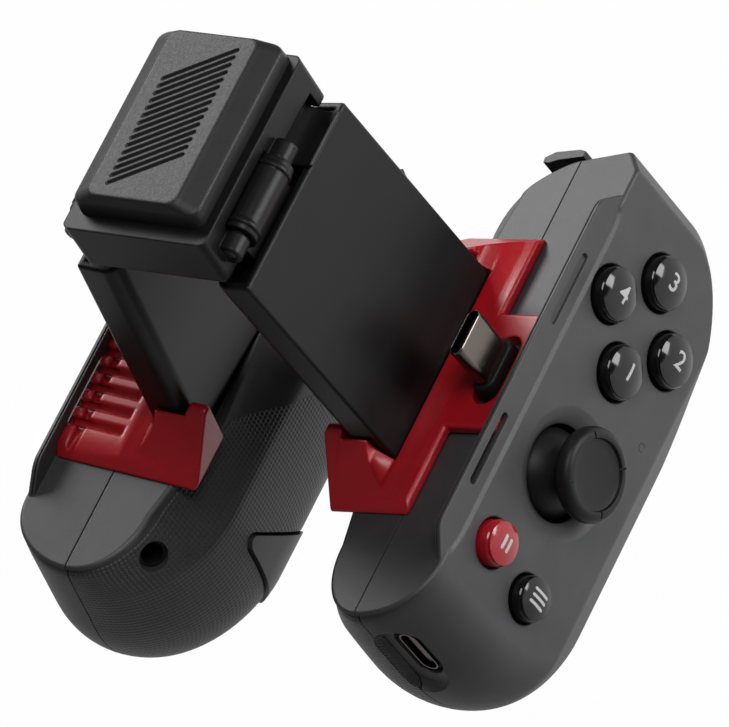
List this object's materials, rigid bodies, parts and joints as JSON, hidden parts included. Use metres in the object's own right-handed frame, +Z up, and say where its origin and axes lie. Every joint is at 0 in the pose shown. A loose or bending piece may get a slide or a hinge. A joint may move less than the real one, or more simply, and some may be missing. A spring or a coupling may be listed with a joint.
{
  "type": "folding phone gamepad",
  "caption": "Folding phone gamepad with grips on hinged telescoping arms, thumbsticks, face buttons, direction pad, triggers and a phone plug.",
  "frame": {"origin": "on the floor, midway between the two grips and midway along their length", "axes": "+Z up along the hub's pad normal, +Y along the hinge axes towards the triggers, +X towards the plug-side grip"},
  "size_m": [0.0966, 0.0882, 0.0967],
  "materials": {
    "black_plastic": "fine matt moulded plastic",
    "grey_shell": "fine-grained matt plastic",
    "grip_shell": "matt plastic with a fine ribbed grip texture",
    "satin_black": "satin plastic",
    "soft_rubber": "matt soft rubber",
    "stick_rubber": "matt rubberised plastic",
    "red_gloss": "glossy saturated red plastic",
    "black_gloss": "high-gloss black plastic",
    "nickel": "nickel-plated stamped shell",
    "steel": "ground steel pin",
    "board": "solder-masked circuit board",
    "light_pipe": "clear moulded light pipe"
  },
  "bodies": {
    "hub": {"hub_frame": "black_plastic", "hub_cover": "black_plastic", "phone_pad": "soft_rubber", "right_hinge_pin": "steel", "left_hinge_pin": "steel"},
    "right_arm": {"right_arm": "black_plastic", "right_hinge_leaf": "black_plastic"},
    "left_arm": {"left_arm": "black_plastic", "left_hinge_leaf": "black_plastic"},
    "right_grip": {"right_front_shell": "grey_shell", "right_rear_shell": "grip_shell", "right_cradle": "red_gloss", "phone_plug_shell": "nickel", "phone_plug_core": "black_plastic", "charging_socket": "nickel", "right_board": "board", "right_keypad": "soft_rubber", "right_stick_base": "black_plastic", "status_light": "light_pipe", "right_trigger_pin": "steel"},
    "left_grip": {"left_front_shell": "grey_shell", "left_rear_shell": "grip_shell", "left_cradle": "red_gloss", "headphone_socket": "black_plastic", "left_board": "board", "left_keypad": "soft_rubber", "left_stick_base": "black_plastic", "dpad_post": "black_plastic", "left_trigger_pin": "steel"},
    "right_stick_ring": {"right_stick_ring": "steel"},
    "right_stick_post": {"right_stick_post": "stick_rubber"},
    "right_stick_cap": {"right_stick_cap": "stick_rubber"},
    "right_trigger": {"right_trigger": "satin_black"},
    "right_bumper": {"right_bumper": "satin_black"},
    "right_rear_key": {"right_rear_key": "grip_shell"},
    "left_stick_ring": {"left_stick_ring": "steel"},
    "left_stick_post": {"left_stick_post": "stick_rubber"},
    "left_stick_cap": {"left_stick_cap": "stick_rubber"},
    "left_trigger": {"left_trigger": "satin_black"},
    "left_bumper": {"left_bumper": "satin_black"},
    "left_rear_key": {"left_rear_key": "grip_shell"},
    "button_south": {"button_south": "black_gloss"},
    "button_east": {"button_east": "black_gloss"},
    "button_north": {"button_north": "black_gloss"},
    "button_west": {"button_west": "black_gloss"},
    "home_button": {"home_button": "red_gloss"},
    "menu_button": {"menu_button": "black_gloss"},
    "view_button": {"view_button": "black_gloss"},
    "capture_button": {"capture_button": "black_gloss"},
    "dpad_pivot": {"dpad_pivot": "steel"},
    "dpad": {"dpad": "black_gloss"}
  },
  "joints": [
    {"name": "right_fold", "type": "hinge", "parent": "hub", "child": "right_arm", "pos_m": [0.014, -0.00515, 0.0869], "axis": [0, 1, 0], "range_deg": [-81, 4]},
    {"name": "right_slide", "type": "slide", "parent": "right_arm", "child": "right_grip", "axis": [0.1564, 0, -0.9877], "range_m": [0, 0.02]},
    {"name": "right_stick_roll", "type": "hinge", "parent": "right_grip", "child": "right_stick_ring", "pos_m": [0.03417, -0.00655, 0.02347], "axis": [0.1564, 0, -0.9877], "range_deg": [-13, 13], "stiffness_Nm_per_rad": 0.03},
    {"name": "right_stick_pitch", "type": "hinge", "parent": "right_stick_ring", "child": "right_stick_post", "pos_m": [0.03417, -0.00655, 0.02347], "axis": [0, 1, 0], "range_deg": [-13, 13], "stiffness_Nm_per_rad": 0.03},
    {"name": "right_stick_press", "type": "slide", "parent": "right_stick_post", "child": "right_stick_cap", "axis": [-0.9877, 0, -0.1564], "range_m": [0, 0.0005], "stiffness_N_per_m": 4000},
    {"name": "right_trigger", "type": "hinge", "parent": "right_grip", "child": "right_trigger", "pos_m": [0.01808, 0.02595, 0.01961], "axis": [0.1564, 0, -0.9877], "range_deg": [0, 12], "stiffness_Nm_per_rad": 0.06},
    {"name": "right_bumper", "type": "slide", "parent": "right_grip", "child": "right_bumper", "axis": [0, -1, 0], "range_m": [0, 0.0008], "stiffness_N_per_m": 1200},
    {"name": "right_rear_key", "type": "slide", "parent": "right_grip", "child": "right_rear_key", "axis": [0.9877, 0, 0.1564], "range_m": [0, 0.001], "stiffness_N_per_m": 900},
    {"name": "left_fold", "type": "hinge", "parent": "hub", "child": "left_arm", "pos_m": [-0.014, -0.00515, 0.0869], "axis": [0, -1, 0], "range_deg": [-81, 4]},
    {"name": "left_slide", "type": "slide", "parent": "left_arm", "child": "left_grip", "axis": [-0.1564, 0, -0.9877], "range_m": [0, 0.02]},
    {"name": "left_stick_roll", "type": "hinge", "parent": "left_grip", "child": "left_stick_ring", "pos_m": [-0.03417, 0.02105, 0.02347], "axis": [0.1564, 0, 0.9877], "range_deg": [-13, 13], "stiffness_Nm_per_rad": 0.03},
    {"name": "left_stick_pitch", "type": "hinge", "parent": "left_stick_ring", "child": "left_stick_post", "pos_m": [-0.03417, 0.02105, 0.02347], "axis": [0, -1, 0], "range_deg": [-13, 13], "stiffness_Nm_per_rad": 0.03},
    {"name": "left_stick_press", "type": "slide", "parent": "left_stick_post", "child": "left_stick_cap", "axis": [0.9877, 0, -0.1564], "range_m": [0, 0.0005], "stiffness_N_per_m": 4000},
    {"name": "left_trigger", "type": "hinge", "parent": "left_grip", "child": "left_trigger", "pos_m": [-0.01808, 0.02595, 0.01961], "axis": [0.1564, 0, 0.9877], "range_deg": [0, 12], "stiffness_Nm_per_rad": 0.06},
    {"name": "left_bumper", "type": "slide", "parent": "left_grip", "child": "left_bumper", "axis": [0, -1, 0], "range_m": [0, 0.0008], "stiffness_N_per_m": 1200},
    {"name": "left_rear_key", "type": "slide", "parent": "left_grip", "child": "left_rear_key", "axis": [-0.9877, 0, 0.1564], "range_m": [0, 0.001], "stiffness_N_per_m": 900},
    {"name": "button_south", "type": "slide", "parent": "right_grip", "child": "button_south", "axis": [-0.9877, 0, -0.1564], "range_m": [0, 0.001], "stiffness_N_per_m": 900},
    {"name": "button_east", "type": "slide", "parent": "right_grip", "child": "button_east", "axis": [-0.9877, 0, -0.1564], "range_m": [0, 0.001], "stiffness_N_per_m": 900},
    {"name": "button_north", "type": "slide", "parent": "right_grip", "child": "button_north", "axis": [-0.9877, 0, -0.1564], "range_m": [0, 0.001], "stiffness_N_per_m": 900},
    {"name": "button_west", "type": "slide", "parent": "right_grip", "child": "button_west", "axis": [-0.9877, 0, -0.1564], "range_m": [0, 0.001], "stiffness_N_per_m": 900},
    {"name": "home_button", "type": "slide", "parent": "right_grip", "child": "home_button", "axis": [-0.9877, 0, -0.1564], "range_m": [0, 0.001], "stiffness_N_per_m": 900},
    {"name": "menu_button", "type": "slide", "parent": "right_grip", "child": "menu_button", "axis": [-0.9877, 0, -0.1564], "range_m": [0, 0.001], "stiffness_N_per_m": 900},
    {"name": "view_button", "type": "slide", "parent": "left_grip", "child": "view_button", "axis": [0.9877, 0, -0.1564], "range_m": [0, 0.001], "stiffness_N_per_m": 900},
    {"name": "capture_button", "type": "slide", "parent": "left_grip", "child": "capture_button", "axis": [0.9877, 0, -0.1564], "range_m": [0, 0.001], "stiffness_N_per_m": 900},
    {"name": "dpad_roll", "type": "hinge", "parent": "left_grip", "child": "dpad_pivot", "pos_m": [-0.03444, -0.00795, 0.02432], "axis": [0.1564, 0, 0.9877], "range_deg": [-5, 5], "stiffness_Nm_per_rad": 0.05},
    {"name": "dpad_pitch", "type": "hinge", "parent": "dpad_pivot", "child": "dpad", "pos_m": [-0.03444, -0.00795, 0.02432], "axis": [0, -1, 0], "range_deg": [-5, 5], "stiffness_Nm_per_rad": 0.05}
  ]
}
